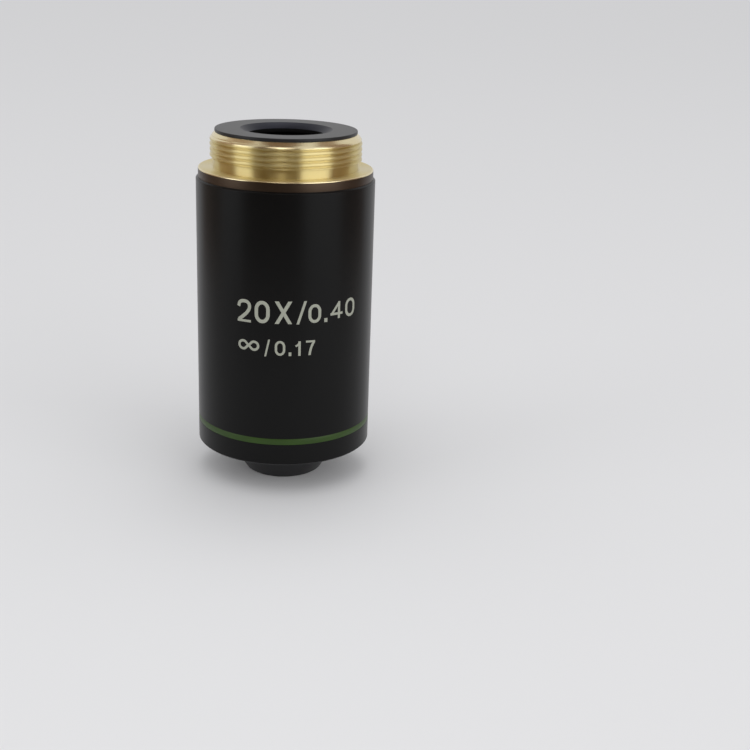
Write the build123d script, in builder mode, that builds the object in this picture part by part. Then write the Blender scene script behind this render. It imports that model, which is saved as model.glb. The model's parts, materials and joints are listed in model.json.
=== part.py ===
"""A microscope objective of magnification 20 and aperture 0.40, for a tube of infinite length.

It stands on its front rim with its mounting thread upwards. The origin is on the optical axis in
the plane of the front rim, and +Z runs along the axis from the front lens to the mounting thread.
The lens tube is sprung: it slides back into the outer sleeve when its front touches a specimen.
All lengths are in millimetres.
"""

import os
from math import cos, pi, sin, tan

from build123d import *

os.makedirs("parts", exist_ok=True)

# Datum lengths. The shoulder seats on the nosepiece at a fixed distance from the specimen.
parfocal_length = 45.0
working_distance = 2.1

# Clearances between pieces
running_gap = 0.04
thread_gap = 0.02
seat_gap = 0.02
cement_gap = 0.02
end_float = 0.1

# Brass mount: thread of 0.8 inch with 36 turns to the inch, shoulder and guide skirt
thread_diameter = 20.24
thread_length = 2.93
lead_in_height = 0.47
lead_in_depth = 0.5
relief_depth = 0.42
relief_height = 1.22
shoulder_inset = 0.3
least_seat_width = 1.0
shoulder_thickness = 1.28
shoulder_edge = 0.15
skirt_length = 15.8
skirt_wall = 2.96
skirt_clearance = 0.45
skirt_edge = 0.2

# Outer sleeve with its colour band
sleeve_wall = 1.15
sleeve_thread_height = 0.15
sleeve_thread_length = 6.0
sleeve_thread_runout = 1.0
sleeve_edge = 0.2
lip_thickness = 1.5
band_width = 0.86
band_depth = 0.15
band_height = 3.38

# Rear stop ring, screwed into the top of the mount
stop_inset = 0.14
stop_thickness = 0.45
stop_edge = 0.12
stop_opening_diameter = 10.1
stop_countersink_width = 1.1
stop_countersink_depth = 0.7
stop_land = 0.5
stop_seat_width = 1.7
stop_spigot_length = 2.4
stop_spigot_wall = 1.4

# Nose cone, front lens cell and front lens
nose_projection = 4.65
nose_rim_diameter = 10.6
nose_rim_width = 1.1
nose_rim_edge = 0.25
nose_dish_depth = 0.5
nose_front_wall = 0.35
nose_opening_diameter = 5.4
nose_collar_height = 1.35
nose_thread_length = 2.4
nose_thread_wall = 1.9
front_cell_diameter = 9.4
front_cell_height = 4.0
front_cell_lip_thickness = 0.35
front_cell_lip_width = 0.4
front_cell_wall = 1.1
front_lens_diameter = 5.0
front_lens_edge = 1.0
front_lens_curve = 3.2

# Cemented doublets: flint of one hollow face below, crown of two bulging faces above
middle_lens_step = 0.3
middle_flint_centre = 1.2
middle_crown_edge = 0.4
middle_cement_curve = 8.0
middle_rear_curve = 9.0
rear_lens_diameter = 10.2
rear_flint_centre = 1.2
rear_crown_edge = 0.7
rear_cement_curve = 11.0
rear_rear_curve = 14.0

# Lens cells, spacers, pupil stop and the ring that clamps them in the lens tube
cell_wall = 0.9
cell_lip_thickness = 0.8
cell_lip_width = 0.5
cell_head = 0.4
spacer_wall = 1.0
front_spacer_height = 0.8
lens_spacer_height = 2.6
pupil_diameter = 7.2
pupil_stop_thickness = 0.3
lock_ring_height = 2.0
lock_ring_wall = 1.5
lock_thread_height = 0.2
lock_thread_runout = 0.5
spanner_slot_width = 1.2
spanner_slot_depth = 0.7

# Lens tube, which slides in the mount and carries the optics
tube_wall = 1.4
tube_top_room = 1.5
tube_edge = 0.15
collar_clearance = 0.55
collar_thickness = 2.0
spigot_wall = 1.35
spigot_recess = 0.9
stack_seat_width = 0.8
stack_seat_thickness = 0.8
shim_thickness = 0.2

# Sprung travel, the guide screw and its slot in the lens tube
nose_travel = 2.5
guide_screw_diameter = 2.5
guide_screw_height = 7.0
guide_point_diameter = 1.3
guide_point_reach = 0.55
guide_point_room = 0.15
driver_slot_width = 0.4
driver_slot_depth = 0.5

# Return spring of flat wire, with closed ends ground flat
wire_width = 1.2
wire_thickness = 0.6
spring_turns = 6
closed_coil_gap = 0.1
arcs_per_turn = 4

# Diameters that follow from the rear lens
middle_lens_diameter = rear_lens_diameter - 2 * middle_lens_step
stack_bore_diameter = rear_lens_diameter + 2 * cell_wall
stack_diameter = stack_bore_diameter - 2 * seat_gap
rear_bore_diameter = stack_bore_diameter + 2 * lock_thread_height
tube_diameter = stack_bore_diameter + 2 * tube_wall
guide_bore_diameter = tube_diameter + 2 * running_gap
skirt_diameter = guide_bore_diameter + 2 * skirt_wall
spring_diameter = (tube_diameter + skirt_diameter) / 2
sleeve_bore_diameter = skirt_diameter + 2 * skirt_clearance
collar_diameter = sleeve_bore_diameter - 2 * collar_clearance
sleeve_thread_diameter = sleeve_bore_diameter + 2 * sleeve_thread_height

# The sleeve is as wide as its own wall needs, or as the seat round the thread does
seat_diameter = thread_diameter + 2 * least_seat_width
sleeve_diameter = max(sleeve_bore_diameter + 2 * sleeve_wall, seat_diameter + 2 * shoulder_inset)
shoulder_diameter = sleeve_diameter - 2 * shoulder_inset

# Diameters that follow from the mounting thread
relief_diameter = thread_diameter - 2 * relief_depth
lead_in_diameter = thread_diameter - 2 * lead_in_depth
stop_diameter = lead_in_diameter - 2 * stop_inset
stop_thread_diameter = relief_diameter - 2 * stop_seat_width
stop_bore_diameter = stop_thread_diameter - 2 * stop_spigot_wall
stop_countersink_diameter = stop_opening_diameter + 2 * stop_countersink_width

# Diameters that follow from the front lens cell
nose_thread_diameter = front_cell_diameter + 2 * nose_thread_wall
spigot_diameter = nose_thread_diameter + 2 * spigot_wall
lip_bore_diameter = spigot_diameter + 2 * running_gap

# Heights of the outer pieces along the axis
shoulder_z = parfocal_length - working_distance
shoulder_foot = shoulder_z - shoulder_thickness
sleeve_thread_foot = shoulder_foot - sleeve_thread_length
skirt_foot = shoulder_foot - skirt_length
relief_top = shoulder_z + relief_height
thread_top = relief_top + thread_length
mount_top = thread_top + lead_in_height
stop_top = mount_top + stop_thickness
stop_foot = mount_top - stop_spigot_length
sleeve_foot = nose_projection
lip_top = sleeve_foot + lip_thickness
band_middle = sleeve_foot + band_height

# Heights of the lens tube and its slot
spigot_foot = sleeve_foot + spigot_recess
nose_thread_top = spigot_foot + nose_thread_length
collar_foot = lip_top + shim_thickness
collar_top = collar_foot + collar_thickness
stack_seat = collar_top + stack_seat_thickness
tube_top = stop_foot - nose_travel - tube_top_room
guide_screw_z = skirt_foot + guide_screw_height
guide_slot_top = guide_screw_z + guide_point_diameter / 2 + end_float
guide_slot_foot = guide_screw_z - guide_point_diameter / 2 - nose_travel - end_float


def sag(curve, diameter):
    """How far a sphere with this radius of curve falls from its pole to a rim of this diameter."""
    return curve - (curve**2 - (diameter / 2) ** 2) ** 0.5


def doublet_height(diameter, flint_centre, crown_edge, cement_curve, rear_curve):
    """Height of a cemented doublet on the axis."""
    return flint_centre + cement_gap + sag(cement_curve, diameter) + crown_edge + sag(rear_curve, diameter)


# Heights of the stacked optics
middle_height = doublet_height(
    middle_lens_diameter,
    middle_flint_centre,
    middle_crown_edge,
    middle_cement_curve,
    middle_rear_curve,
)
rear_height = doublet_height(
    rear_lens_diameter,
    rear_flint_centre,
    rear_crown_edge,
    rear_cement_curve,
    rear_rear_curve,
)
middle_cell_foot = stack_seat + front_spacer_height
middle_cell_top = middle_cell_foot + cell_lip_thickness + middle_height + cell_head
rear_cell_foot = middle_cell_top + lens_spacer_height
rear_cell_top = rear_cell_foot + cell_lip_thickness + rear_height + cell_head
pupil_stop_top = rear_cell_top + pupil_stop_thickness
lock_ring_top = pupil_stop_top + lock_ring_height
rear_bore_foot = rear_cell_top - lock_thread_runout


def round_edges(diameter, height):
    """The circular edges, of the part being built, that have this diameter and height."""
    near = 1e-4
    circles = edges().filter_by(GeomType.CIRCLE)
    return circles.filter_by(
        lambda edge: abs(2 * edge.radius - diameter) < near and abs(edge.arc_center.Z - height) < near
    )


# Brass mount, turned from one bar
with BuildPart() as thread_mount:
    with BuildSketch(Plane.XZ):
        with BuildLine():
            Polyline(
                (guide_bore_diameter / 2, skirt_foot),
                (skirt_diameter / 2, skirt_foot),
                (skirt_diameter / 2, sleeve_thread_foot),
                (sleeve_thread_diameter / 2, sleeve_thread_foot),
                (sleeve_thread_diameter / 2, shoulder_foot),
                (shoulder_diameter / 2, shoulder_foot),
                (shoulder_diameter / 2, shoulder_z),
                (relief_diameter / 2, shoulder_z),
                (relief_diameter / 2, relief_top),
                (thread_diameter / 2, relief_top),
                (thread_diameter / 2, thread_top),
                (lead_in_diameter / 2, mount_top),
                (stop_thread_diameter / 2 + thread_gap, mount_top),
                (stop_thread_diameter / 2 + thread_gap, stop_foot - end_float),
                (guide_bore_diameter / 2, stop_foot - end_float),
                close=True,
            )
        make_face()
    revolve(axis=Axis.Z)
    chamfer(round_edges(shoulder_diameter, shoulder_z), shoulder_edge)
    chamfer(round_edges(skirt_diameter, skirt_foot), skirt_edge)
    with BuildSketch(Plane((0, 0, guide_screw_z), x_dir=(1, 0, 0), z_dir=(0, 1, 0))):
        Circle(guide_screw_diameter / 2 + thread_gap)
    extrude(amount=sleeve_thread_diameter, mode=Mode.SUBTRACT)
thread_mount.part.label = "thread_mount"
export_step(thread_mount.part, "parts/thread_mount.step")

# Rear stop ring, blackened; its countersunk hole ends the light path
stop_land_top = stop_top - stop_countersink_depth
stop_land_foot = stop_land_top - stop_land
with BuildPart() as rear_stop_ring:
    with BuildSketch(Plane.XZ):
        with BuildLine():
            Polyline(
                (stop_opening_diameter / 2, stop_land_top),
                (stop_countersink_diameter / 2, stop_top),
                (stop_diameter / 2, stop_top),
                (stop_diameter / 2, mount_top),
                (stop_thread_diameter / 2, mount_top),
                (stop_thread_diameter / 2, stop_foot),
                (stop_bore_diameter / 2, stop_foot),
                (stop_bore_diameter / 2, stop_land_foot),
                (stop_opening_diameter / 2, stop_land_foot),
                close=True,
            )
        make_face()
    revolve(axis=Axis.Z)
    fillet(round_edges(stop_diameter, stop_top), stop_edge)
    fillet(round_edges(stop_diameter, mount_top), stop_edge)
rear_stop_ring.part.label = "rear_stop_ring"
export_step(rear_stop_ring.part, "parts/rear_stop_ring.step")

# Outer sleeve, screwed up to the shoulder; its foot turns in to hold the sprung lens tube
with BuildPart() as outer_sleeve:
    with BuildSketch(Plane.XZ):
        with BuildLine():
            Polyline(
                (lip_bore_diameter / 2, sleeve_foot),
                (sleeve_diameter / 2, sleeve_foot),
                (sleeve_diameter / 2, shoulder_foot),
                (sleeve_thread_diameter / 2 + thread_gap, shoulder_foot),
                (sleeve_thread_diameter / 2 + thread_gap, sleeve_thread_foot - sleeve_thread_runout),
                (sleeve_bore_diameter / 2, sleeve_thread_foot - sleeve_thread_runout),
                (sleeve_bore_diameter / 2, lip_top),
                (lip_bore_diameter / 2, lip_top),
                close=True,
            )
        make_face()
    revolve(axis=Axis.Z)
    chamfer(round_edges(sleeve_diameter, shoulder_foot), sleeve_edge)
    chamfer(round_edges(sleeve_diameter, sleeve_foot), sleeve_edge)
    with BuildSketch(Plane.XZ):
        with Locations((sleeve_diameter / 2, band_middle)):
            Rectangle(band_depth, band_width, align=(Align.MAX, Align.CENTER))
    revolve(axis=Axis.Z, mode=Mode.SUBTRACT)
outer_sleeve.part.label = "outer_sleeve"
export_step(outer_sleeve.part, "parts/outer_sleeve.step")

# Colour band: enamel that fills the groove and tells the magnification by its colour
with BuildPart() as colour_band:
    with BuildSketch(Plane.XZ):
        with Locations((sleeve_diameter / 2, band_middle)):
            Rectangle(band_depth, band_width, align=(Align.MAX, Align.CENTER))
    revolve(axis=Axis.Z)
colour_band.part.label = "colour_band"
export_step(colour_band.part, "parts/colour_band.step")

# Thin washer between the sleeve's lip and the tube's collar, which sets the parfocal length
with BuildPart() as parfocal_shim:
    with BuildSketch(Plane.XY.offset(lip_top)):
        Circle(collar_diameter / 2)
        Circle(lip_bore_diameter / 2, mode=Mode.SUBTRACT)
    extrude(amount=shim_thickness)
parfocal_shim.part.label = "parfocal_shim"
export_step(parfocal_shim.part, "parts/parfocal_shim.step")

# Guide screw: its point runs in the lens tube's slot, so the tube slides but doesn't turn
guide_point_end = tube_diameter / 2 - guide_point_reach
guide_body_end = guide_bore_diameter / 2 + end_float
guide_head_end = skirt_diameter / 2 - end_float
with BuildPart() as guide_screw:
    with BuildSketch(Plane((0, guide_body_end, guide_screw_z), x_dir=(1, 0, 0), z_dir=(0, 1, 0))):
        Circle(guide_screw_diameter / 2)
    extrude(amount=guide_head_end - guide_body_end)
    with BuildSketch(Plane((0, guide_point_end, guide_screw_z), x_dir=(1, 0, 0), z_dir=(0, 1, 0))):
        Circle(guide_point_diameter / 2)
    extrude(amount=guide_body_end - guide_point_end)
    with BuildSketch(Plane((0, guide_head_end, guide_screw_z), x_dir=(1, 0, 0), z_dir=(0, 1, 0))):
        Rectangle(guide_screw_diameter, driver_slot_width)
    extrude(amount=-driver_slot_depth, mode=Mode.SUBTRACT)
guide_screw.part.label = "guide_screw"
export_step(guide_screw.part, "parts/guide_screw.step")

# Lens tube: its barrel slides in the mount, and its collar rests on the sleeve's lip
guide_slot_depth = guide_point_reach + guide_point_room
guide_slot_floor = Plane(
    (0, tube_diameter / 2 - guide_slot_depth, (guide_slot_top + guide_slot_foot) / 2),
    x_dir=(0, 0, 1),
    z_dir=(0, 1, 0),
)
with BuildPart() as lens_tube:
    with BuildSketch(Plane.XZ):
        with BuildLine():
            Polyline(
                (nose_thread_diameter / 2 + thread_gap, spigot_foot),
                (spigot_diameter / 2, spigot_foot),
                (spigot_diameter / 2, collar_foot),
                (collar_diameter / 2, collar_foot),
                (collar_diameter / 2, collar_top),
                (tube_diameter / 2, collar_top),
                (tube_diameter / 2, tube_top),
                (rear_bore_diameter / 2, tube_top),
                (rear_bore_diameter / 2, rear_bore_foot),
                (stack_bore_diameter / 2, rear_bore_foot),
                (stack_bore_diameter / 2, stack_seat),
                (stack_bore_diameter / 2 - stack_seat_width, stack_seat),
                (stack_bore_diameter / 2 - stack_seat_width, nose_thread_top + end_float),
                (nose_thread_diameter / 2 + thread_gap, nose_thread_top + end_float),
                close=True,
            )
        make_face()
    revolve(axis=Axis.Z)
    chamfer(round_edges(collar_diameter, collar_top), tube_edge)
    chamfer(round_edges(tube_diameter, tube_top), tube_edge)
    with BuildSketch(guide_slot_floor):
        SlotOverall(guide_slot_top - guide_slot_foot, guide_point_diameter + 2 * running_gap)
    extrude(amount=2 * guide_slot_depth, mode=Mode.SUBTRACT)
lens_tube.part.label = "lens_tube"
export_step(lens_tube.part, "parts/lens_tube.step")

# Return spring between the collar and the skirt. Its wire follows chained arcs that rise slowly
# in the closed end turns and evenly between them; one arc of the mean rise blends each change.
closed_rise = (wire_thickness + closed_coil_gap) / arcs_per_turn
open_arcs = round((spring_turns - 2) * arcs_per_turn) - 2
open_rise = (skirt_foot - collar_top - (2 * arcs_per_turn + 1) * closed_rise) / (open_arcs + 1)
blend_rise = (closed_rise + open_rise) / 2
end_rises = [closed_rise] * arcs_per_turn + [blend_rise]
coil_rises = end_rises + [open_rise] * open_arcs + end_rises[::-1]
arc_angle = 2 * pi / arcs_per_turn
coil_start = Vector(spring_diameter / 2, 0, collar_top)
start_direction = Vector(0, spring_diameter * tan(arc_angle / 2), closed_rise)
with BuildPart() as return_spring:
    with BuildLine() as coil:
        arc_start = coil_start
        direction = start_direction
        for turned, rise in enumerate(coil_rises, start=1):
            arc_end = Vector(
                spring_diameter / 2 * cos(turned * arc_angle),
                spring_diameter / 2 * sin(turned * arc_angle),
                arc_start.Z + rise,
            )
            direction = TangentArc(arc_start, arc_end, tangent=direction) % 1
            arc_start = arc_end
    with BuildSketch(Plane(coil_start, x_dir=(1, 0, 0), z_dir=start_direction)):
        Rectangle(wire_width, wire_thickness)
    sweep(path=coil.wire())
    split(bisect_by=Plane.XY.offset(collar_top), keep=Keep.TOP)
    split(bisect_by=Plane.XY.offset(skirt_foot), keep=Keep.BOTTOM)
return_spring.part.label = "return_spring"
export_step(return_spring.part, "parts/return_spring.step")

# Nose cone: the black cone that screws into the lens tube and shields the front lens
front_cell_foot = nose_dish_depth + nose_front_wall
with BuildPart() as nose_cone:
    with BuildSketch(Plane.XZ):
        with BuildLine():
            Polyline(
                (nose_rim_diameter / 2 - nose_rim_width, 0),
                (nose_rim_diameter / 2, 0),
                (spigot_diameter / 2, spigot_foot - nose_collar_height),
                (spigot_diameter / 2, spigot_foot),
                (nose_thread_diameter / 2, spigot_foot),
                (nose_thread_diameter / 2, nose_thread_top),
                (front_cell_diameter / 2 + seat_gap, nose_thread_top),
                (front_cell_diameter / 2 + seat_gap, front_cell_foot),
                (nose_opening_diameter / 2, front_cell_foot),
                (nose_opening_diameter / 2, nose_dish_depth),
                close=True,
            )
        make_face()
    revolve(axis=Axis.Z)
    chamfer(round_edges(nose_rim_diameter, 0), nose_rim_edge)
nose_cone.part.label = "nose_cone"
export_step(nose_cone.part, "parts/nose_cone.step")

# Front lens cell, screwed into the nose cone from behind
front_lens_foot = front_cell_foot + front_cell_lip_thickness
front_cell_top = front_cell_foot + front_cell_height
with BuildPart() as front_lens_cell:
    with BuildSketch(Plane.XZ):
        with BuildLine():
            Polyline(
                (front_lens_diameter / 2 - front_cell_lip_width, front_cell_foot),
                (front_cell_diameter / 2, front_cell_foot),
                (front_cell_diameter / 2, front_cell_top),
                (front_cell_diameter / 2 - front_cell_wall, front_cell_top),
                (front_lens_diameter / 2 + seat_gap, front_lens_foot + front_lens_edge),
                (front_lens_diameter / 2 + seat_gap, front_lens_foot),
                (front_lens_diameter / 2 - front_cell_lip_width, front_lens_foot),
                close=True,
            )
        make_face()
    revolve(axis=Axis.Z)
front_lens_cell.part.label = "front_lens_cell"
export_step(front_lens_cell.part, "parts/front_lens_cell.step")


def half_face(pole, rim, diameter):
    """Half the section of a lens face, flat or spherical, from its pole on the axis to its rim."""
    if pole == rim:
        Line((0, pole), (diameter / 2, rim))
    else:
        TangentArc((0, pole), (diameter / 2, rim), tangent=(1, 0))


def lens(diameter, lower_pole, lower_rim, upper_rim, upper_pole):
    """A lens with a ground cylindrical edge, from the heights of its poles and rims."""
    with BuildPart() as glass:
        with BuildSketch(Plane.XZ):
            with BuildLine():
                half_face(lower_pole, lower_rim, diameter)
                Line((diameter / 2, lower_rim), (diameter / 2, upper_rim))
                half_face(upper_pole, upper_rim, diameter)
                Line((0, upper_pole), (0, lower_pole))
            make_face()
        revolve(axis=Axis.Z)
    return glass


# Front lens: flat towards the specimen, strongly bulging behind
front_lens_rim = front_lens_foot + front_lens_edge
front_lens = lens(
    front_lens_diameter,
    front_lens_foot,
    front_lens_foot,
    front_lens_rim,
    front_lens_rim + sag(front_lens_curve, front_lens_diameter),
)
front_lens.part.label = "front_lens"
export_step(front_lens.part, "parts/front_lens.step")


def doublet(seat, diameter, flint_centre, crown_edge, cement_curve, rear_curve):
    """A flint with its flat face on the seat, and the crown cemented in its hollow face."""
    flint_pole = seat + flint_centre
    cement_sag = sag(cement_curve, diameter)
    flint = lens(diameter, seat, seat, flint_pole + cement_sag, flint_pole)
    crown_pole = flint_pole + cement_gap
    crown_rim = crown_pole + cement_sag
    rear_rim = crown_rim + crown_edge
    crown = lens(diameter, crown_pole, crown_rim, rear_rim, rear_rim + sag(rear_curve, diameter))
    return flint, crown


# Middle doublet
middle_flint_lens, middle_crown_lens = doublet(
    middle_cell_foot + cell_lip_thickness,
    middle_lens_diameter,
    middle_flint_centre,
    middle_crown_edge,
    middle_cement_curve,
    middle_rear_curve,
)
middle_flint_lens.part.label = "middle_flint_lens"
export_step(middle_flint_lens.part, "parts/middle_flint_lens.step")
middle_crown_lens.part.label = "middle_crown_lens"
export_step(middle_crown_lens.part, "parts/middle_crown_lens.step")

# Rear doublet
rear_flint_lens, rear_crown_lens = doublet(
    rear_cell_foot + cell_lip_thickness,
    rear_lens_diameter,
    rear_flint_centre,
    rear_crown_edge,
    rear_cement_curve,
    rear_rear_curve,
)
rear_flint_lens.part.label = "rear_flint_lens"
export_step(rear_flint_lens.part, "parts/rear_flint_lens.step")
rear_crown_lens.part.label = "rear_crown_lens"
export_step(rear_crown_lens.part, "parts/rear_crown_lens.step")


def lens_cell(foot, top, lens_diameter):
    """A turned cell, open at the top, with an inward lip at its foot that the lens rests on."""
    with BuildPart() as cell:
        with BuildSketch(Plane.XY.offset(foot)):
            Circle(stack_diameter / 2)
            Circle(lens_diameter / 2 - cell_lip_width, mode=Mode.SUBTRACT)
        extrude(amount=top - foot)
        with BuildSketch(Plane.XY.offset(foot + cell_lip_thickness)):
            Circle(lens_diameter / 2 + seat_gap)
        extrude(amount=top - foot - cell_lip_thickness, mode=Mode.SUBTRACT)
    return cell


# Cells of the two doublets
middle_lens_cell = lens_cell(middle_cell_foot, middle_cell_top, middle_lens_diameter)
middle_lens_cell.part.label = "middle_lens_cell"
export_step(middle_lens_cell.part, "parts/middle_lens_cell.step")
rear_lens_cell = lens_cell(rear_cell_foot, rear_cell_top, rear_lens_diameter)
rear_lens_cell.part.label = "rear_lens_cell"
export_step(rear_lens_cell.part, "parts/rear_lens_cell.step")


def stack_ring(foot, height, opening_diameter):
    """A plain ring that fills the tube's bore and has this opening."""
    with BuildPart() as ring:
        with BuildSketch(Plane.XY.offset(foot)):
            Circle(stack_diameter / 2)
            Circle(opening_diameter / 2, mode=Mode.SUBTRACT)
        extrude(amount=height)
    return ring


# Spacers below each cell, and the stop that sets the exit pupil
spacer_opening_diameter = stack_diameter - 2 * spacer_wall
front_spacer = stack_ring(stack_seat, front_spacer_height, spacer_opening_diameter)
front_spacer.part.label = "front_spacer"
export_step(front_spacer.part, "parts/front_spacer.step")
lens_spacer = stack_ring(middle_cell_top, lens_spacer_height, spacer_opening_diameter)
lens_spacer.part.label = "lens_spacer"
export_step(lens_spacer.part, "parts/lens_spacer.step")
pupil_stop = stack_ring(rear_cell_top, pupil_stop_thickness, pupil_diameter)
pupil_stop.part.label = "pupil_stop"
export_step(pupil_stop.part, "parts/pupil_stop.step")

# Lock ring, threaded outside, with two slots for a pin spanner
lock_ring_diameter = rear_bore_diameter - 2 * thread_gap
with BuildPart() as lens_lock_ring:
    with BuildSketch(Plane.XY.offset(pupil_stop_top)):
        Circle(lock_ring_diameter / 2)
        Circle(lock_ring_diameter / 2 - lock_ring_wall, mode=Mode.SUBTRACT)
    extrude(amount=lock_ring_height)
    with BuildSketch(Plane.XY.offset(lock_ring_top)):
        Rectangle(lock_ring_diameter, spanner_slot_width)
    extrude(amount=-spanner_slot_depth, mode=Mode.SUBTRACT)
lens_lock_ring.part.label = "lens_lock_ring"
export_step(lens_lock_ring.part, "parts/lens_lock_ring.step")
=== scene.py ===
"""The looks of a microscope objective that stands on its front rim with its thread upwards."""

import json
from math import atan2, cos, pi, radians, sin, sqrt, tan

import bmesh
import bpy
from mathutils import Matrix, Vector


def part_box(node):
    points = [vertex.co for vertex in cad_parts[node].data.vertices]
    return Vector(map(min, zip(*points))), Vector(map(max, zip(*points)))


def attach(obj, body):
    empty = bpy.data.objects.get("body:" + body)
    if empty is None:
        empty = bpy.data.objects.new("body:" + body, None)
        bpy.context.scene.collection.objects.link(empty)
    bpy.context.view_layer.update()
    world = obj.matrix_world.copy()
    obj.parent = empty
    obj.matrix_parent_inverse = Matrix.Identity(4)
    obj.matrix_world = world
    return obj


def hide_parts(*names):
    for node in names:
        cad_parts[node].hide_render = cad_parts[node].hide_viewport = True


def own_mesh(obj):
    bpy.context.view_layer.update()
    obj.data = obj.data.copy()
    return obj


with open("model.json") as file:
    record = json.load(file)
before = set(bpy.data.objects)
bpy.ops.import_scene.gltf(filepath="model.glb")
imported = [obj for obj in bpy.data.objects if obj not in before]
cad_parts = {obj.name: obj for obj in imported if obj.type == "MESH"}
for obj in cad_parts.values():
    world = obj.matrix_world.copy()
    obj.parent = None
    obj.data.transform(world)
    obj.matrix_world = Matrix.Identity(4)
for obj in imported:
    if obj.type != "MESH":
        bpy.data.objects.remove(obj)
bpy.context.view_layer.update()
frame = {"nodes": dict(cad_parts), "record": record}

# Mount: one piece of brass, turned on a lathe, with the right-handed mounting thread of 36 turns to
# the inch, a relief below it, and the shoulder that seats on the nosepiece. The thread and the seat
# are left bright; the shoulder's rim is darkened bronze. It carries every other piece.
MM = 0.001


def span(node):
    """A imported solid's foot, head and outer radius in millimetres."""
    low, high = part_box(node)
    return low.z / MM, high.z / MM, high.x / MM


mount_foot, mount_top, shoulder_radius = span("thread_mount")
sleeve_foot, shoulder_foot, sleeve_radius = span("outer_sleeve")
mounts = {mount["name"]: mount for mount in frame["record"]["mounts"]}
shoulder_top = mounts["shoulder"]["pos_m"][2] / MM
thread_crest = mounts["nosepiece_thread"]["dims"]["r_mm"]
thread_reach = mounts["nosepiece_thread"]["dims"]["length_mm"]
thread_foot = mounts["nosepiece_thread"]["pos_m"][2] / MM - thread_reach / 2
thread_head = thread_foot + thread_reach
thread_pitch = 25.4 / 36
thread_depth = 0.34
thread_root = thread_crest - thread_depth
thread_flank = 0.22
thread_edge = 0.075
thread_turns = 7
thread_groove_at_front = shoulder_top + 1.44


def round_edges(shape, edges, width, segments):
    """Rounds these edges of a shape over a width in millimetres."""
    bmesh.ops.bevel(
        shape,
        geom=edges,
        offset=width * MM,
        offset_type="OFFSET",
        affect="EDGES",
        segments=segments,
        profile=0.5,
        material=-1,
        clamp_overlap=True,
    )


def break_edges(shape, width, segments=2, sharper_than=35):
    """Rounds the sharp edges of a turned shape a little, as a tool or a brush leaves them."""
    sharp = [
        edge
        for edge in shape.edges
        if edge.is_manifold and edge.calc_face_angle(0) > radians(sharper_than)
    ]
    round_edges(shape, sharp, width, segments)


def as_object(name, shape, *materials):
    """The shape as an object with these materials."""
    mesh = bpy.data.meshes.new(name)
    shape.to_mesh(mesh)
    shape.free()
    for material in materials:
        mesh.materials.append(material)
    piece = bpy.data.objects.new(name, mesh)
    bpy.context.collection.objects.link(piece)
    return piece


def finished(name, shape, *materials, sharper_than=35):
    """The shape as a smooth-shaded object with these materials."""
    for face in shape.faces:
        face.smooth = True
    for edge in shape.edges:
        edge.smooth = not edge.is_manifold or edge.calc_face_angle(0) < radians(sharper_than)
    piece = as_object(name, shape, *materials)
    even = piece.modifiers.new("EvenNormals", "WEIGHTED_NORMAL")
    even.weight = 100
    even.keep_sharp = True
    return piece


def linear(hex_colour):
    """An sRGB hex colour as linear red, green, blue and alpha."""
    shares = [int(hex_colour[place : place + 2], 16) / 255 for place in (0, 2, 4)]
    return [s / 12.92 if s <= 0.04045 else ((s + 0.055) / 1.055) ** 2.4 for s in shares] + [1.0]


def add_node(material, kind, inputs=None, **settings):
    """Adds a node with its settings. An input takes either a socket to link or a plain value."""
    node = material.node_tree.nodes.new(kind)
    for name, value in settings.items():
        setattr(node, name, value)
    for name, value in (inputs or {}).items():
        if isinstance(value, bpy.types.NodeSocket):
            material.node_tree.links.new(value, node.inputs[name])
        else:
            node.inputs[name].default_value = value
    return node


def new_material(name):
    """An empty node material."""
    material = bpy.data.materials.new(name)
    material.use_nodes = True
    material.node_tree.nodes.clear()
    return material


def across_the_cut(material):
    """The lathe tool's way in metres: along the axis on a wall, along the radius on a face."""
    place = add_node(material, "ShaderNodeTexCoord").outputs["Object"]
    apart = add_node(material, "ShaderNodeSeparateXYZ", {"Vector": place})
    flat = add_node(
        material, "ShaderNodeCombineXYZ", {"X": apart.outputs["X"], "Y": apart.outputs["Y"]}
    )
    radius = add_node(
        material, "ShaderNodeVectorMath", {0: flat.outputs["Vector"]}, operation="LENGTH"
    )
    total = add_node(
        material,
        "ShaderNodeMath",
        {0: radius.outputs["Value"], 1: apart.outputs["Z"]},
        operation="ADD",
    )
    return total.outputs["Value"]


def tool_marks(material, spacing, depth):
    """The normal of a surface with rings of tool marks, of this spacing and depth in mm.

    Real marks are about 0.05 mm apart, and are drawn at 0.1 mm or more to show.
    """
    marks = add_node(
        material,
        "ShaderNodeTexNoise",
        {"W": across_the_cut(material), "Scale": 1 / (2 * spacing * MM), "Detail": 3.0},
        noise_dimensions="1D",
    )
    bump = add_node(
        material,
        "ShaderNodeBump",
        {"Height": marks.outputs["Fac"], "Distance": depth * MM, "Strength": 1.0},
    )
    return bump.outputs["Normal"]


def patches(material, size, darker, lighter):
    """A colour that drifts between two tones over patches of this size in millimetres."""
    place = add_node(material, "ShaderNodeTexCoord").outputs["Object"]
    drift = add_node(
        material,
        "ShaderNodeTexNoise",
        {"Vector": place, "Scale": 1 / (size * MM), "Detail": 2.0},
    )
    tones = add_node(
        material,
        "ShaderNodeMix",
        {0: drift.outputs["Fac"], 6: linear(darker), 7: linear(lighter)},
        data_type="RGBA",
    )
    return tones.outputs[2]


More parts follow.
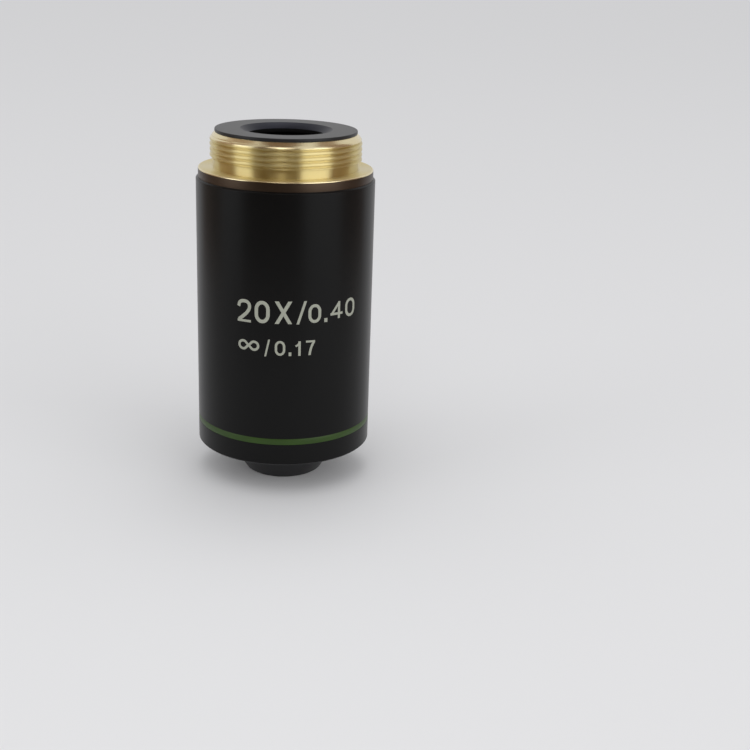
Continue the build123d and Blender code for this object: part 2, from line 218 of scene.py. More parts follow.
# Bright turned brass: golden and saturated, with a mirror's sharpness along the cut and a soft blur
# across it, from fine tool marks.
brass = new_material("bright turned brass")
round_the_axis = add_node(brass, "ShaderNodeTangent", direction_type="RADIAL", axis="Z")
shader = add_node(
    brass,
    "ShaderNodeBsdfPrincipled",
    {
        "Base Color": patches(brass, 6.0, "DBCA8E", "E7D79E"),
        "Metallic": 1.0,
        "Roughness": 0.4,
        "Anisotropic": 1.0,
        "Anisotropic Rotation": 0.25,
        "Tangent": round_the_axis.outputs["Tangent"],
        "Normal": tool_marks(brass, 0.12, 0.0015),
    },
)
add_node(brass, "ShaderNodeOutputMaterial", {"Surface": shader.outputs["BSDF"]})

# Burnished brass, on the lead-in and the shoulder's edge, which the nosepiece has rubbed smooth
# so that it reflects more clearly. Its tone, paler than the brass round it, is a painted highlight:
# it whitens the front window's glint there.
burnished_with_glint = new_material("burnished brass edge")
shader = add_node(
    burnished_with_glint,
    "ShaderNodeBsdfPrincipled",
    {
        "Base Color": patches(burnished_with_glint, 6.0, "E2D2A4", "ECE0BA"),
        "Metallic": 1.0,
        "Roughness": 0.22,
    },
)
add_node(burnished_with_glint, "ShaderNodeOutputMaterial", {"Surface": shader.outputs["BSDF"]})

# Darkened bronze, on the shoulder's rim: the same brass under a brown oxide, so its gloss is dim
# and warm.
bronze = new_material("darkened bronze")
shader = add_node(
    bronze,
    "ShaderNodeBsdfPrincipled",
    {
        "Base Color": patches(bronze, 5.0, "3A2F26", "483B2F"),
        "Metallic": 0.85,
        "Roughness": 0.36,
        "Normal": tool_marks(bronze, 0.1, 0.001),
    },
)
add_node(bronze, "ShaderNodeOutputMaterial", {"Surface": shader.outputs["BSDF"]})

# One section of the helical thread: root, flank, crest, flank and root for each turn, spun with a
# rise of one pitch a turn, so that each turn's end meets the next turn's start. The spin starts at
# +X and reaches the front, where the groove's height is known, after three quarters of a turn.
shape = bmesh.new()
turns_to_front = 0.75
turn_starts = [
    thread_groove_at_front - (turns_to_front + 1 - turn) * thread_pitch
    for turn in range(thread_turns + 1)
]
section = []
for start in turn_starts[:-1]:
    crest_from = start + thread_flank
    crest_to = start + thread_pitch - thread_flank
    section += [(thread_root, start), (thread_crest, crest_from), (thread_crest, crest_to)]
section.append((thread_root, turn_starts[-1]))
corners = [shape.verts.new((radius * MM, 0, height * MM)) for radius, height in section]
sides = [shape.edges.new(pair) for pair in zip(corners, corners[1:])]
thread_steps = 192
bmesh.ops.spin(
    shape,
    geom=corners + sides,
    cent=(0, 0, 0),
    axis=(0, 0, 1),
    dvec=(0, 0, thread_pitch * MM / thread_steps),
    angle=2 * pi,
    steps=thread_steps,
)
bmesh.ops.remove_doubles(shape, verts=shape.verts, dist=1e-6)
break_edges(shape, thread_edge, segments=3, sharper_than=30)


def cut(shape, place, normal, clear_inner=False, clear_outer=False):
    """Cuts a shape at a plane, clears what lies behind or before it, and gives the cut's edges."""
    items = bmesh.ops.bisect_plane(
        shape,
        geom=shape.verts[:] + shape.edges[:] + shape.faces[:],
        dist=1e-8,
        plane_co=place,
        plane_no=normal,
        clear_inner=clear_inner,
        clear_outer=clear_outer,
    )["geom_cut"]
    return [item for item in items if isinstance(item, bmesh.types.BMEdge)]


# The lead-in: a cone of about 45 degrees round the thread's end, with its lower corner rounded.
# Rings of edges are cut into the thread, and every corner outside the cone is drawn in to it.
lead_in_radius = 9.43
lead_in_foot = thread_head - 0.22
lead_in_angle = atan2(thread_crest - lead_in_radius, mount_top - lead_in_foot)
rounding = 1.0
rounding_steps = 8
rounded_from = lead_in_foot - rounding * tan(lead_in_angle / 2)
rounded_to = rounded_from + rounding * sin(lead_in_angle)
cut(shape, (0, 0, thread_foot * MM), (0, 0, 1), clear_inner=True)
cut(shape, (0, 0, mount_top * MM), (0, 0, 1), clear_outer=True)
for step in range(rounding_steps + 1):
    height = rounded_from + (rounded_to - rounded_from) * step / rounding_steps
    cut(shape, (0, 0, height * MM), (0, 0, 1))
for corner in shape.verts:
    height = corner.co.z / MM
    widest = thread_crest - (height - lead_in_foot) * tan(lead_in_angle)
    if height < rounded_to:
        widest = thread_crest - rounding + sqrt(rounding**2 - max(0.0, height - rounded_from) ** 2)
    if corner.co.xy.length > widest * MM:
        corner.co.xy = corner.co.xy.normalized() * widest * MM


def draw_out(shape, ring, radius, height):
    """Extrudes a ring of edges to this radius and height in millimetres and gives the new ring."""
    grown = bmesh.ops.extrude_edge_only(shape, edges=ring)["geom"]
    corners = {item for item in grown if isinstance(item, bmesh.types.BMVert)}
    for corner in corners:
        outwards = corner.co.xy.normalized() * radius * MM
        corner.co = (outwards.x, outwards.y, height * MM)
    return [
        item
        for item in grown
        if isinstance(item, bmesh.types.BMEdge) and set(item.verts) <= corners
    ]


# From the thread's foot the wall is drawn out round the shoulder and the skirt, and from its head
# round the stop ring's bore, until the two meet at the guide bore.
relief_radius = 9.70
shoulder_edge = 0.15
sleeve_thread_radius = 11.00
sleeve_thread_foot = shoulder_foot - 6.0
skirt_radius = 10.40
skirt_edge = 0.2
guide_bore_radius = 7.44
stop_bore_radius = 8.02
stop_bore_foot = mount_top - 2.5
rims = [edge for edge in shape.edges if edge.is_boundary]
lower_rim = [edge for edge in rims if edge.verts[0].co.z < (thread_foot + 0.01) * MM]
upper_rim = [edge for edge in rims if edge.verts[0].co.z > (mount_top - 0.01) * MM]
shoulder_rounding = [
    (
        shoulder_radius - shoulder_edge * (1 - sin(radians(angle))),
        shoulder_top - shoulder_edge * (1 - cos(radians(angle))),
    )
    for angle in (0, 30, 60, 90)
]
for radius, height in (
    (relief_radius, thread_foot),
    (relief_radius, shoulder_top),
    *shoulder_rounding,
    (shoulder_radius, shoulder_foot),
    (sleeve_thread_radius, shoulder_foot),
    (sleeve_thread_radius, sleeve_thread_foot),
    (skirt_radius, sleeve_thread_foot),
    (skirt_radius, mount_foot + skirt_edge),
    (skirt_radius - skirt_edge, mount_foot),
    (guide_bore_radius, mount_foot),
):
    lower_rim = draw_out(shape, lower_rim, radius, height)
for radius, height in (
    (stop_bore_radius, mount_top),
    (stop_bore_radius, stop_bore_foot),
    (guide_bore_radius, stop_bore_foot),
):
    upper_rim = draw_out(shape, upper_rim, radius, height)
bmesh.ops.bridge_loops(shape, edges=lower_rim + upper_rim)
bmesh.ops.recalc_face_normals(shape, faces=shape.faces)

# The rim below the shoulder's rounded edge is bronze. That edge and the lead-in are worn smooth,
# and their paler brass there is a painted highlight, where the front window's glint falls.
bronze_slot, burnished_glint_slot = 1, 2
burnished_glint_from = rounded_from + 0.5 * (rounded_to - rounded_from)
for face in shape.faces:
    middle = face.calc_center_median()
    radius, height = middle.xy.length / MM, middle.z / MM
    on_rim = shoulder_foot < height < shoulder_top - shoulder_edge
    if on_rim and radius > sleeve_thread_radius + 0.5:
        face.material_index = bronze_slot
    worn_glint_corner = burnished_glint_from < height < mount_top and radius > lead_in_radius + 0.01
    worn_glint_edge = shoulder_top - shoulder_edge < height < shoulder_top - 0.002
    if worn_glint_corner or worn_glint_edge:
        face.material_index = burnished_glint_slot
thread_piece = finished("mounting_thread", shape, brass, bronze, burnished_with_glint)
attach(thread_piece, "barrel")
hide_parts("thread_mount")


# Rear stop ring: aluminium, turned, anodised black and screwed into the top of the mount. Its
# countersunk hole ends the light path.
def turned(profile, closed=True, steps=160):
    """The solid that a lathe cuts: a profile of radii and heights in mm, spun round the axis."""
    shape = bmesh.new()
    corners = [shape.verts.new((radius * MM, 0, height * MM)) for radius, height in profile]
    ends = corners[1:] + corners[:1] if closed else corners[1:]
    sides = [shape.edges.new(pair) for pair in zip(corners, ends)]
    bmesh.ops.spin(
        shape,
        geom=corners + sides,
        cent=(0, 0, 0),
        axis=(0, 0, 1),
        angle=2 * pi,
        steps=steps,
        use_merge=True,
    )
    bmesh.ops.remove_doubles(shape, verts=shape.verts, dist=1e-7)
    bmesh.ops.dissolve_degenerate(shape, edges=shape.edges, dist=1e-8)
    bmesh.ops.recalc_face_normals(shape, faces=shape.faces)
    return shape


# Its top is a satin black with a faint sheen from the tool marks
stop_black = new_material("black anodised stop ring")
shader = add_node(
    stop_black,
    "ShaderNodeBsdfPrincipled",
    {
        "Base Color": patches(stop_black, 3.0, "1A1A1B", "242425"),
        "Roughness": 0.36,
        "Specular IOR Level": 0.23,
        "Normal": tool_marks(stop_black, 0.1, 0.0008),
    },
)
add_node(stop_black, "ShaderNodeOutputMaterial", {"Surface": shader.outputs["BSDF"]})

# A darker, matt black in its bore: painted shade, which darkens the hole
bore_shade_black = new_material("matt black painted shade in the bore")
shader = add_node(
    bore_shade_black,
    "ShaderNodeBsdfPrincipled",
    {
        "Base Color": patches(bore_shade_black, 1.0, "080808", "0D0D0D"),
        "Roughness": 0.8,
        "Specular IOR Level": 0.1,
    },
)
add_node(bore_shade_black, "ShaderNodeOutputMaterial", {"Surface": shader.outputs["BSDF"]})

# The countersink is cut finer than the top. Its deeper, bluish black is painted shade, and its
# bluish specular tint a painted reflection
countersink_shade_black = new_material("black anodised countersink")
shader = add_node(
    countersink_shade_black,
    "ShaderNodeBsdfPrincipled",
    {
        "Base Color": patches(countersink_shade_black, 2.0, "0F1015", "16171D"),
        "Roughness": 0.4,
        "Specular IOR Level": 0.28,
        "Specular Tint": linear("D8DCFF"),
        "Normal": tool_marks(countersink_shade_black, 0.1, 0.0006),
    },
)
add_node(countersink_shade_black, "ShaderNodeOutputMaterial", {"Surface": shader.outputs["BSDF"]})

stop_foot, stop_top, stop_radius = span("rear_stop_ring")
stop_edge = 0.12
countersink_radius = 6.15
countersink_foot = stop_top - 0.7
opening_radius = 5.05
opening_foot = countersink_foot - 0.5
spigot_radius = 8.00
spigot_bore_radius = 6.60
shape = turned(
    [
        (opening_radius, countersink_foot),
        (countersink_radius, stop_top),
        (stop_radius, stop_top),
        (stop_radius, mount_top),
        (spigot_radius, mount_top),
        (spigot_radius, stop_foot),
        (spigot_bore_radius, stop_foot),
        (spigot_bore_radius, opening_foot),
        (opening_radius, opening_foot),
    ]
)
# The bore takes the darker black of painted shade, the countersink the bluish black below
bore_shade_slot, countersink_slot = 1, 2
for face in shape.faces:
    middle = face.calc_center_median()
    radius, height = middle.xy.length / MM, middle.z / MM
    if radius < spigot_bore_radius + 0.1 and height < countersink_foot:
        face.material_index = bore_shade_slot
    elif radius < countersink_radius - 0.05:
        face.material_index = countersink_slot
outer_edges = [
    edge
    for edge in shape.edges
    if min(corner.co.xy.length for corner in edge.verts) > (stop_radius - 0.05) * MM
    and abs(edge.verts[0].co.z - edge.verts[1].co.z) < 1e-6
]
round_edges(shape, outer_edges, stop_edge, segments=4)
break_edges(shape, 0.03, sharper_than=25)
stop_piece = finished("stop_ring", shape, stop_black, bore_shade_black, countersink_shade_black, sharper_than=25)
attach(stop_piece, "barrel")
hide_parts("rear_stop_ring")

# Sleeve: aluminium tube, turned, bead blasted very finely and anodised black. It screws up to the
# shoulder, and its foot turns in to hold the sprung lens tube.
sleeve_edge = 0.2
sleeve_thread_bore = 11.02
sleeve_runout_foot = sleeve_thread_foot - 1.0
sleeve_bore = 10.85
lip_bore = 7.99
lip_top = span("parfocal_shim")[0]
band_foot, band_head, band_radius = span("colour_band")
groove_radius = 11.85

# The blasting's grain softens the black's gloss into a sheen at the sides. It is finer on a real
# sleeve, and is drawn at 0.12 mm to show.
grain_size = 0.12
sleeve_black = new_material("black anodised sleeve")
place = add_node(sleeve_black, "ShaderNodeTexCoord").outputs["Object"]
grain = add_node(
    sleeve_black,
    "ShaderNodeTexNoise",
    {"Vector": place, "Scale": 1 / (grain_size * MM), "Detail": 2.0},
)
bump = add_node(
    sleeve_black,
    "ShaderNodeBump",
    {"Height": grain.outputs["Fac"], "Distance": 0.001 * MM, "Strength": 1.0},
)
shader = add_node(
    sleeve_black,
    "ShaderNodeBsdfPrincipled",
    {
        "Base Color": patches(sleeve_black, 8.0, "060606", "0A0A0A"),
        "Roughness": 0.3,
        "Specular IOR Level": 0.16,
        "Normal": bump.outputs["Normal"],
    },
)
add_node(sleeve_black, "ShaderNodeOutputMaterial", {"Surface": shader.outputs["BSDF"]})
shape = turned(
    [
        (lip_bore, sleeve_foot),
        (sleeve_radius - sleeve_edge, sleeve_foot),
        (sleeve_radius, sleeve_foot + sleeve_edge),
        (sleeve_radius, band_foot),
        (groove_radius, band_foot),
        (groove_radius, band_head),
        (sleeve_radius, band_head),
        (sleeve_radius, shoulder_foot - sleeve_edge),
        (sleeve_radius - sleeve_edge, shoulder_foot),
        (sleeve_thread_bore, shoulder_foot),
        (sleeve_thread_bore, sleeve_runout_foot),
        (sleeve_bore, sleeve_runout_foot),
        (sleeve_bore, lip_top),
        (lip_bore, lip_top),
    ]
)
break_edges(shape, 0.03)
sleeve_piece = finished("sleeve", shape, sleeve_black)
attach(sleeve_piece, "barrel")
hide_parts("outer_sleeve")

# Numerals on the sleeve: magnification and aperture above, tube length and cover glass below. They
# are printed in pale grey ink and follow the sleeve's curve. The ink is matt and a little uneven.
ink_thickness = 0.01
ink = new_material("pale grey printing ink")
shader = add_node(
    ink,
    "ShaderNodeBsdfPrincipled",
    {"Base Color": patches(ink, 0.4, "8B8D82", "9B9D8F"), "Roughness": 0.6},
)
add_node(ink, "ShaderNodeOutputMaterial", {"Surface": shader.outputs["BSDF"]})

# Each stroke's share of the sign's weight, and its middle line in shares of the width and height
oval = [(0, 0.5), (0.12, 0.87), (0.5, 1), (0.88, 0.87)]
oval += [(1, 0.5), (0.88, 0.13), (0.5, 0), (0.12, 0.13)]
hook = [(0, 0.7), (0.13, 0.92), (0.5, 1), (0.87, 0.92)]
hook += [(0.98, 0.73), (0.84, 0.5), (0.42, 0.22), (0.02, 0.02)]
lying_eight = [(0, 0.5), (0.2, 1), (0.5, 0.5), (0.8, 0)]
lying_eight += [(1, 0.5), (0.8, 1), (0.5, 0.5), (0.2, 0)]
strokes = {
    "0": [(1.0, oval)],
    "1": [(1.0, [(0.85, -0.3), (0.85, 1.3)]), (0.8, [(0.85, 1.0), (0.45, 0.78), (0.0, 0.7)])],
    "2": [(1.0, hook), (0.75, [(-0.1, -0.03), (1.1, -0.03)])],
    "4": [
        (1.0, [(0.74, -0.3), (0.74, 1.12)]),
        (0.9, [(0.72, 1.0), (0.36, 0.62), (0.02, 0.26)]),
        (0.9, [(-0.12, 0.25), (1.12, 0.25)]),
    ],
    "7": [(0.9, [(-0.12, 1.02), (1.12, 1.02)]), (1.0, [(0.98, 1.0), (0.6, 0.52), (0.32, -0.3)])],
    "X": [(1.0, [(-0.02, -0.16), (1.02, 1.16)]), (1.0, [(-0.02, 1.16), (1.02, -0.16)])],
    "/": [(1.0, [(-0.05, -0.2), (1.05, 1.2)])],
    ".": [(1.0, [(0.5, -4), (0.5, 5)])],
    "endless": [(1.0, lying_eight)],
}
closed_signs = ("0", "endless")


def printed_sign(sign, left, right, foot, top, width):
    """One sign's mesh: tubes of this width along its strokes, cut off at its foot and top."""
    curve = bpy.data.curves.new("sign", "CURVE")
    curve.dimensions = "3D"
    curve.resolution_u = 8
    curve.bevel_depth = width / 2 * MM
    curve.bevel_resolution = 1
    curve.use_fill_caps = True
    inset = width / 2
    for weight, middle_line in strokes[sign]:
        line = curve.splines.new("BEZIER")
        line.bezier_points.add(len(middle_line) - 1)
        for point, (across, up) in zip(line.bezier_points, middle_line):
            x = left + inset + across * (right - left - 2 * inset)
            y = foot + inset + up * (top - foot - 2 * inset)
            point.co = (x * MM, y * MM, 0)
            point.handle_left_type = point.handle_right_type = "AUTO"
            point.radius = weight
        line.use_cyclic_u = sign in closed_signs
    holder = bpy.data.objects.new("sign", curve)
    bpy.context.collection.objects.link(holder)
    bpy.context.view_layer.update()
    mesh = bpy.data.meshes.new_from_object(
        holder.evaluated_get(bpy.context.evaluated_depsgraph_get())
    )
    bpy.data.objects.remove(holder)
    bpy.data.curves.remove(curve)
    trimmed = bmesh.new()
    trimmed.from_mesh(mesh)
    for height, side in ((foot, -1), (top, 1)):
        rim = cut(trimmed, (0, height * MM, 0), (0, side, 0), clear_outer=True)
        bmesh.ops.holes_fill(trimmed, edges=rim)
    trimmed.to_mesh(mesh)
    trimmed.free()
    return mesh


def printed_row(name, signs):
    """A row of signs, flattened to the ink's thickness and bent round the sleeve.

    Each sign has its left and right end along the sleeve from the front, its foot and top above
    the shoulder and its strokes' width, in millimetres.
    """
    shape = bmesh.new()
    for sign, left, right, foot, top, width in signs:
        mesh = printed_sign(sign, left, right, foot, top, width)
        shape.from_mesh(mesh)
        bpy.data.meshes.remove(mesh)
    thickest = max(abs(corner.co.z) for corner in shape.verts)
    for corner in shape.verts:
        angle = corner.co.x / (sleeve_radius * MM)
        out = sleeve_radius * MM + corner.co.z / thickest * ink_thickness * MM
        corner.co = (out * sin(angle), -out * cos(angle), shoulder_top * MM + corner.co.y)
    bmesh.ops.recalc_face_normals(shape, faces=shape.faces)
    row = finished(name, shape, ink)
    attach(row, "barrel")


printed_row(
    "numerals_upper",
    [
        ("2", -6.48, -4.42, -18.46, -15.42, 0.45),
        ("0", -3.97, -1.95, -18.40, -15.40, 0.47),
        ("X", -1.34, 1.00, -18.38, -15.36, 0.46),
        ("/", 1.46, 2.94, -18.44, -15.34, 0.34),
        ("0", 3.09, 4.86, -18.36, -15.83, 0.40),
        (".", 5.33, 5.79, -18.40, -17.86, 0.46),
        ("4", 6.24, 8.19, -18.14, -15.84, 0.36),
        ("0", 8.68, 10.48, -18.23, -15.71, 0.38),
    ],
)
printed_row(
    "numerals_lower",
    [
        ("endless", -6.33, -3.32, -22.28, -20.86, 0.33),
        ("/", -2.69, -1.86, -22.88, -20.56, 0.24),
        ("0", -1.27, 0.10, -22.70, -20.68, 0.31),
        (".", 0.55, 0.90, -22.73, -22.23, 0.35),
        ("1", 1.28, 2.22, -22.73, -20.74, 0.32),
        ("7", 2.78, 4.10, -22.71, -20.70, 0.32),
    ],
)

# Colour band: green enamel, laid in a groove near the sleeve's foot and wiped flush. Its colour
# tells the magnification. The enamel has a soft gloss and a slightly cloudy green.
enamel = new_material("green enamel")
shader = add_node(
    enamel,
    "ShaderNodeBsdfPrincipled",
    {
        "Base Color": patches(enamel, 2.5, "23390B", "2C460F"),
        "Roughness": 0.4,
        "Specular IOR Level": 0.3,
    },
)
add_node(enamel, "ShaderNodeOutputMaterial", {"Surface": shader.outputs["BSDF"]})
wiped_radius = band_radius - 0.01
shape = turned(
    [
        (groove_radius, band_foot),
        (wiped_radius, band_foot),
        (wiped_radius, band_head),
        (groove_radius, band_head),
    ]
)
break_edges(shape, 0.04)
band_piece = finished("green_band", shape, enamel)
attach(band_piece, "barrel")
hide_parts("colour_band")


# Parfocal shim: a washer cut from rolled brass sheet. It lies on the sleeve's lip under the lens
# tube's collar and sets the distance to the specimen. Rolling gives it an even, soft gleam.
def coat(material, *nodes):
    """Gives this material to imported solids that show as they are."""
    for node in nodes:
        frame["nodes"][node].data.materials.clear()
        frame["nodes"][node].data.materials.append(material)


shim_brass = new_material("rolled brass sheet")
shader = add_node(
    shim_brass,
    "ShaderNodeBsdfPrincipled",
    {
        "Base Color": patches(shim_brass, 1.5, "C9A95C", "DDC078"),
        "Metallic": 1.0,
        "Roughness": 0.35,
    },
)
add_node(shim_brass, "ShaderNodeOutputMaterial", {"Surface": shader.outputs["BSDF"]})
coat(shim_brass, "parfocal_shim")

# Guide screw: a small steel screw in the mount's skirt, whose point runs in the lens tube's slot
# and keeps the tube from turning. The steel is left plain and has a dull, silver grey gloss.
steel = new_material("drawn spring steel")
shader = add_node(
    steel,
    "ShaderNodeBsdfPrincipled",
    {
        "Base Color": patches(steel, 1.2, "8A8A88", "A6A5A2"),
        "Metallic": 1.0,
        "Roughness": 0.32,
    },
)
add_node(steel, "ShaderNodeOutputMaterial", {"Surface": shader.outputs["BSDF"]})
coat(steel, "guide_screw")

# Return spring: six turns of flat spring steel with closed ends ground flat. It presses the lens
# tube down on the sleeve's lip and shortens as the nose goes in.
spring_foot, spring_head, _ = span("return_spring")
spring_length = spring_head - spring_foot
wire_inside, wire_outside, half_wire = 8.3, 9.5, 0.3
shape = bmesh.new()
corners = [
    shape.verts.new((radius * MM, 0, (spring_foot + height) * MM))
    for radius, height in (
        (wire_inside, -half_wire),
        (wire_outside, -half_wire),
        (wire_outside, half_wire),
        (wire_inside, half_wire),
    )
]
section = [shape.edges.new(pair) for pair in zip(corners, corners[1:] + corners[:1])]
shape.faces.new(corners)

# The wire rises by closed_rise in a quarter turn at the ends, by open_rise between them, and by
# their mean in the two quarters where one goes over into the other.
closed_quarters, open_quarters = 4, 14
closed_rise = 0.175
open_rise = (spring_length - (2 * closed_quarters + 1) * closed_rise) / (open_quarters + 1)
mean_rise = (closed_rise + open_rise) / 2
quarter_steps = 12
end = section
for quarters, rise in (
    (closed_quarters, closed_rise),
    (1, mean_rise),
    (open_quarters, open_rise),
    (1, mean_rise),
    (closed_quarters, closed_rise),
):
    grown = bmesh.ops.spin(
        shape,
        geom=list({corner for edge in end for corner in edge.verts}) + end,
        cent=(0, 0, 0),
        axis=(0, 0, 1),
        dvec=(0, 0, rise * MM / quarter_steps),
        angle=quarters * pi / 2,
        steps=quarters * quarter_steps,
    )["geom_last"]
    end = [item for item in grown if isinstance(item, bmesh.types.BMEdge)]
last_corners = {corner for edge in end for corner in edge.verts}
shape.faces.new(sorted(last_corners, key=lambda corner: (corner.co.z, corner.co.x)))
for height, above, below in ((spring_foot, True, False), (spring_head, False, True)):
    ground = cut(shape, (0, 0, height * MM), (0, 0, 1), clear_inner=above, clear_outer=below)
    bmesh.ops.holes_fill(shape, edges=ground)
bmesh.ops.recalc_face_normals(shape, faces=shape.faces)
spring_piece = finished("flat_wire_spring", shape, steel)
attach(spring_piece, "barrel")
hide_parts("return_spring")
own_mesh(spring_piece)

# Lens tube: turned brass that slides in the mount, carries the optics and rests with its collar on
# the shim. It is blackened with a matt, warm oxide so that it throws no stray light, and so are the
# cells and spacers that it holds.
oxide = new_material("black oxide on brass")
shader = add_node(
    oxide,
    "ShaderNodeBsdfPrincipled",
    {
        "Base Color": patches(oxide, 2.0, "141312", "1D1B19"),
        "Roughness": 0.55,
        "Specular IOR Level": 0.4,
        "Normal": tool_marks(oxide, 0.1, 0.001),
    },
)
add_node(oxide, "ShaderNodeOutputMaterial", {"Surface": shader.outputs["BSDF"]})
coat(oxide, "lens_tube", "middle_lens_cell", "rear_lens_cell", "front_spacer", "lens_spacer")

# Nose cone: turned brass, screwed into the lens tube. Its dished front rim is what the objective
# stands on. Its coat of black chrome is satin, a neutral black with more gloss than the oxide.
black_chrome = new_material("satin black chrome")
shader = add_node(
    black_chrome,
    "ShaderNodeBsdfPrincipled",
    {
        "Base Color": patches(black_chrome, 4.0, "121213", "1A1A1C"),
        "Roughness": 0.36,
        "Specular IOR Level": 0.5,
        "Normal": tool_marks(black_chrome, 0.1, 0.001),
    },
)
add_node(black_chrome, "ShaderNodeOutputMaterial", {"Surface": shader.outputs["BSDF"]})
_, nose_top, nose_radius = span("nose_cone")
cone_top = sleeve_foot - 0.45
collar_top = span("lens_tube")[0]
nose_spigot_radius = 6.60
nose_bore_radius = 4.72
cell_foot = 0.85
window_radius = 2.70
shape = turned(
    [
        (4.20, 0.00),
        (5.05, 0.00),
        (5.36, 0.22),
        (nose_radius, cone_top),
        (nose_radius, collar_top),
        (nose_spigot_radius, collar_top),
        (nose_spigot_radius, nose_top),
        (nose_bore_radius, nose_top),
        (nose_bore_radius, cell_foot),
        (window_radius, cell_foot),
        (window_radius, 0.50),
    ]
)
break_edges(shape, 0.03)
nose_piece = finished("nose_cone_black", shape, black_chrome)
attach(nose_piece, "nose")
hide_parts("nose_cone")

# Front lens cell: a small cell of blackened brass, screwed into the cone from behind, with an
# inward lip that holds the front lens.
cell_radius = 4.70
cell_top = 4.85
cell_bore = 2.52
cell_lip_bore = 2.10
cell_lip_top = 1.20
shape = turned(
    [
        (cell_lip_bore, cell_foot),
        (cell_radius, cell_foot),
        (cell_radius, cell_top),
        (3.60, cell_top),
        (cell_bore, 2.20),
        (cell_bore, cell_lip_top),
        (cell_lip_bore, cell_lip_top),
    ]
)
break_edges(shape, 0.03)
front_cell_piece = finished("front_cell", shape, oxide)
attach(front_cell_piece, "nose")
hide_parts("front_lens_cell")


# Lenses: a front lens of crown glass, flat below and strongly bulging above, and two doublets, each
# a flint with the crown cemented in its hollow face. They are ground, polished and coated against
# reflections, which gives them a faint blue gleam.
def optical_glass(name, index):
    """Polished glass of this refractive index under a quarter wave of magnesium fluoride."""
    material = new_material(name)
    shader = add_node(
        material,
        "ShaderNodeBsdfPrincipled",
        {
            "Base Color": patches(material, 4.0, "F6FAFA", "FCFEFD"),
            "Roughness": 0.0,
            "IOR": index,
            "Transmission Weight": 1.0,
            "Thin Film Thickness": 110.0,
            "Thin Film IOR": 1.38,
        },
    )
    add_node(material, "ShaderNodeOutputMaterial", {"Surface": shader.outputs["BSDF"]})
    return material


crown = optical_glass("coated crown glass", 1.52)
flint = optical_glass("flint glass", 1.62)


def lens(name, node, lower_curve, upper_curve, material):
    """A lens in its solid's place. A curve is a radius in mm, below 0 if hollow and 0 if flat."""
    foot, head, half = span(node)
    faces = []
    for curve, outwards in ((lower_curve, -1), (upper_curve, 1)):
        steps = 1 if curve == 0 else 14
        across = [half * step / steps for step in range(steps + 1)]
        drops = [0 if curve == 0 else abs(curve) - sqrt(curve**2 - radius**2) for radius in across]
        bulge = -outwards if curve > 0 else outwards
        faces.append([(radius, bulge * drop) for radius, drop in zip(across, drops)])
    lower, upper = faces
    lowest = min(height for _, height in lower)
    highest = max(height for _, height in upper)
    section = [(radius, foot - lowest + height) for radius, height in lower]
    section += [(radius, head - highest + height) for radius, height in upper[::-1]]
    shape = turned(section, closed=False, steps=96)
    piece = finished(name, shape, material)
    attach(piece, "nose")
    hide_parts(node)


lens("front_glass", "front_lens", 0, 3.2, crown)
for place, cement, rear in (("middle", 8.0, 9.0), ("rear", 11.0, 14.0)):
    flint_node, crown_node = place + "_flint_lens", place + "_crown_lens"
    lens(place + "_flint_glass", flint_node, 0, -cement, flint)
    lens(place + "_crown_glass", crown_node, cement, rear, crown)

# Pupil stop and lock ring: rings of blackened brass above the rear cell. The lock ring is threaded
# outside, has two slots for a pin spanner and clamps the stack of cells in the tube.
coat(oxide, "pupil_stop", "lens_lock_ring")


# Floor and soft light: a pale matt floor in an even, bright room. A panel lights each side, and a
# small window in front, with a dimmer glow above it, gives the brass its highlights.
def matt_paper(name, hex_colour):
    """Matt paper of one plain colour, for what isn't part of the objective."""
    paper = new_material(name)
    shader = add_node(
        paper,
        "ShaderNodeBsdfPrincipled",
        {"Base Color": linear(hex_colour), "Roughness": 0.9, "Specular IOR Level": 0.0},
    )
    add_node(paper, "ShaderNodeOutputMaterial", {"Surface": shader.outputs["BSDF"]})
    return paper


shape = bmesh.new()
bmesh.ops.create_circle(shape, cap_ends=True, segments=96, radius=6.0)
floor = as_object("floor", shape, matt_paper("pale paper floor", "E0E0E1"))

world = bpy.data.worlds.new("soft room")
world.use_nodes = True
bpy.context.scene.world = world
world.node_tree.nodes["Background"].inputs["Color"].default_value = (0.99, 0.99, 1.0, 1.0)
world.node_tree.nodes["Background"].inputs["Strength"].default_value = 0.78

light_target = Vector((0, 0, 0.035))


def soft_light(name, azimuth, elevation, distance, size, radiance):
    """A soft box of this radiance that faces the objective and stays out of view."""
    light = bpy.data.lights.new(name, "AREA")
    light.shape = "RECTANGLE"
    light.size, light.size_y = size
    light.energy = radiance * pi * size[0] * size[1]
    box = bpy.data.objects.new(name, light)
    away = Vector(
        (
            sin(radians(azimuth)) * cos(radians(elevation)),
            -cos(radians(azimuth)) * cos(radians(elevation)),
            sin(radians(elevation)),
        )
    )
    box.matrix_world = Matrix.Translation(light_target + away * distance) @ (
        away.to_track_quat("Z", "Y").to_matrix().to_4x4()
    )
    box.visible_camera = False
    bpy.context.collection.objects.link(box)


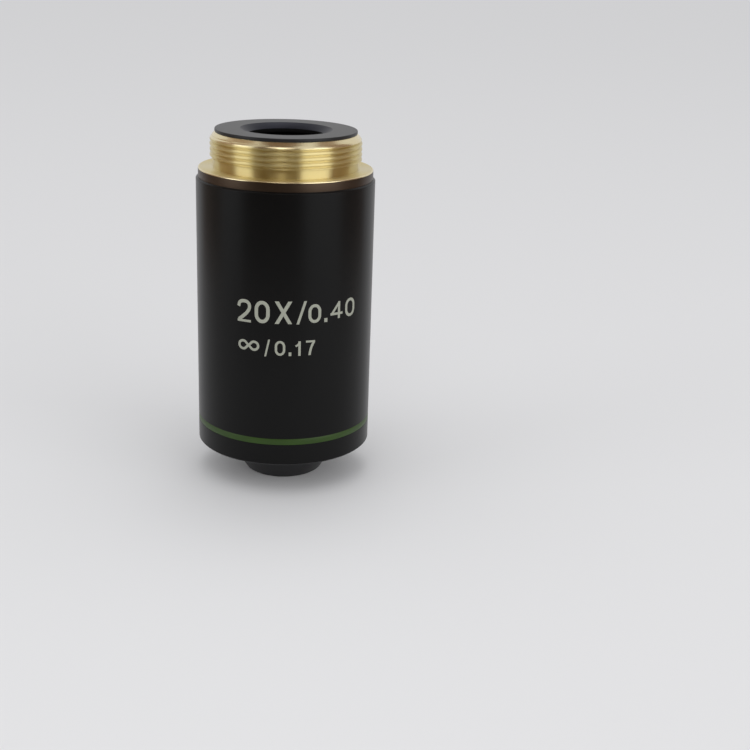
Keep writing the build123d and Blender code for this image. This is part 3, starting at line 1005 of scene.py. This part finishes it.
soft_light("left panel", -68, 12, 0.7, (0.4, 0.5), 1.32)
soft_light("right panel", 47.5, 14, 0.7, (0.61, 0.5), 1.78)
soft_light("front window", -8, 40, 0.12, (0.022, 0.04), 1.5)
soft_light("window glow", -8.5, 50, 0.12, (0.064, 0.035), 1.2)


def reflection_card(name, shape, brown):
    """A brown card that only reflections see, to give the bright metal its dark zones."""
    card = as_object(name, shape, matt_paper(name.replace("_", " "), brown))
    card.visible_camera = card.visible_diffuse = card.visible_shadow = False


# Three cards stand round the objective, and a fourth hangs over it
card_distance = 0.13
for name, first, last, head_height, brown in (
    ("card_left", -125, -85, 0.3, "AC9888"),
    ("card_front", -53, 23, 0.7, "6C5847"),
    ("card_right", 72, 115, 0.3, "A08A7C"),
):
    shape = bmesh.new()
    away = Vector((sin(radians(first)), -cos(radians(first)), 0)) * card_distance
    foot, head = shape.verts.new(away), shape.verts.new(away + Vector((0, 0, head_height)))
    bmesh.ops.spin(
        shape,
        geom=[foot, head, shape.edges.new((foot, head))],
        cent=(0, 0, 0),
        axis=(0, 0, 1),
        angle=radians(last - first),
        steps=24,
    )
    reflection_card(name, shape, brown)
shape = bmesh.new()
bmesh.ops.create_circle(
    shape, cap_ends=True, segments=48, radius=0.14, matrix=Matrix.Translation((-0.03, 0, 0.45))
)
reflection_card("card_above", shape, "846C5A")

# A weak, wide sun from above and a little behind
sun = bpy.data.lights.new("high key", "SUN")
sun.energy = 0.25
sun.angle = radians(25)
key = bpy.data.objects.new("high key", sun)
key.rotation_euler = (radians(-20), 0, radians(-8))
bpy.context.collection.objects.link(key)

# Camera: in front of the objective, a little above it and looking down on its thread
camera_data = bpy.data.cameras.new("camera")
camera_data.sensor_width = 36.0
camera_data.lens = 60.25
camera_data.clip_start = 0.005
camera_data.clip_end = 20.0
camera = bpy.data.objects.new("camera", camera_data)
camera.matrix_world = (
    Matrix.Translation((0, -0.16823, 0.07136))
    @ Matrix.Rotation(radians(-4.371), 4, "Z")
    @ Matrix.Rotation(radians(90 - 18.917), 4, "X")
    @ Matrix.Rotation(radians(1.915), 4, "Z")
)
bpy.context.collection.objects.link(camera)
bpy.context.scene.camera = camera
bpy.context.scene.view_settings.view_transform = "Standard"
